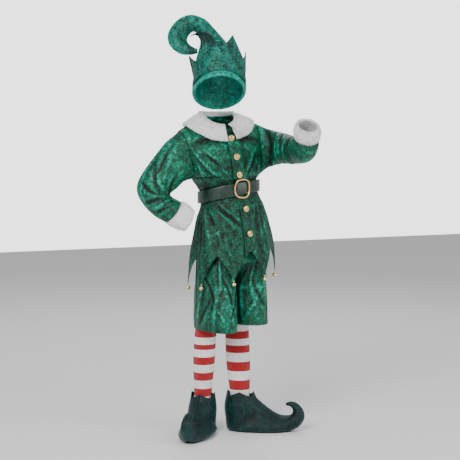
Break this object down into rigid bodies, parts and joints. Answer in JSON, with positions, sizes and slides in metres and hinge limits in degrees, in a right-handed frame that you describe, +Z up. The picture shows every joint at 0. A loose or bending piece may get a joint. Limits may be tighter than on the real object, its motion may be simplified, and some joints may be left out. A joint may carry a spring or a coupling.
{
  "type": "elf costume",
  "caption": "Child's elf costume as worn, with pointed belled tunic, belt, knickers, striped stockings, curled shoes and curled hat, hollow and empty.",
  "frame": {"origin": "middle of the base of the neck, between the wearer's shoulders", "axes": "+Z up; the front of the tunic faces -Y; the wearer's left is +X"},
  "size_m": [0.5258, 0.4596, 1.3753],
  "materials": {
    "velvet": "crushed velvet",
    "hat_velvet": "crushed velvet",
    "shoe_velvet": "plain velvet",
    "plush": "short pile",
    "stocking_knit": "striped knit",
    "belt_leather": "patent",
    "gold_metal": "polished"
  },
  "bodies": {
    "root": {"bell_1": "gold_metal", "bell_2": "gold_metal", "bell_3": "gold_metal", "bell_4": "gold_metal", "bell_5": "gold_metal", "bell_6": "gold_metal", "bell_7": "gold_metal", "bell_8": "gold_metal", "belt_strap": "belt_leather", "buckle": "gold_metal", "button_1": "gold_metal", "button_2": "gold_metal", "button_3": "gold_metal", "button_4": "gold_metal", "button_5": "gold_metal", "collar_left": "plush", "collar_right": "plush", "cuff_left": "plush", "cuff_right": "plush", "hat_back": "hat_velvet", "hat_band": "hat_velvet", "hat_front": "hat_velvet", "hat_rim_roll": "hat_velvet", "knickers_left": "velvet", "knickers_right": "velvet", "knickers_waistband": "velvet", "shoe_left_inner": "shoe_velvet", "shoe_left_outer": "shoe_velvet", "shoe_left_sole": "shoe_velvet", "shoe_right_inner": "shoe_velvet", "shoe_right_outer": "shoe_velvet", "shoe_right_sole": "shoe_velvet", "sleeve_left": "velvet", "sleeve_right": "velvet", "stocking_left": "stocking_knit", "stocking_right": "stocking_knit", "tunic_back": "velvet", "tunic_front_left": "velvet", "tunic_front_right": "velvet"}
  },
  "joints": []
}
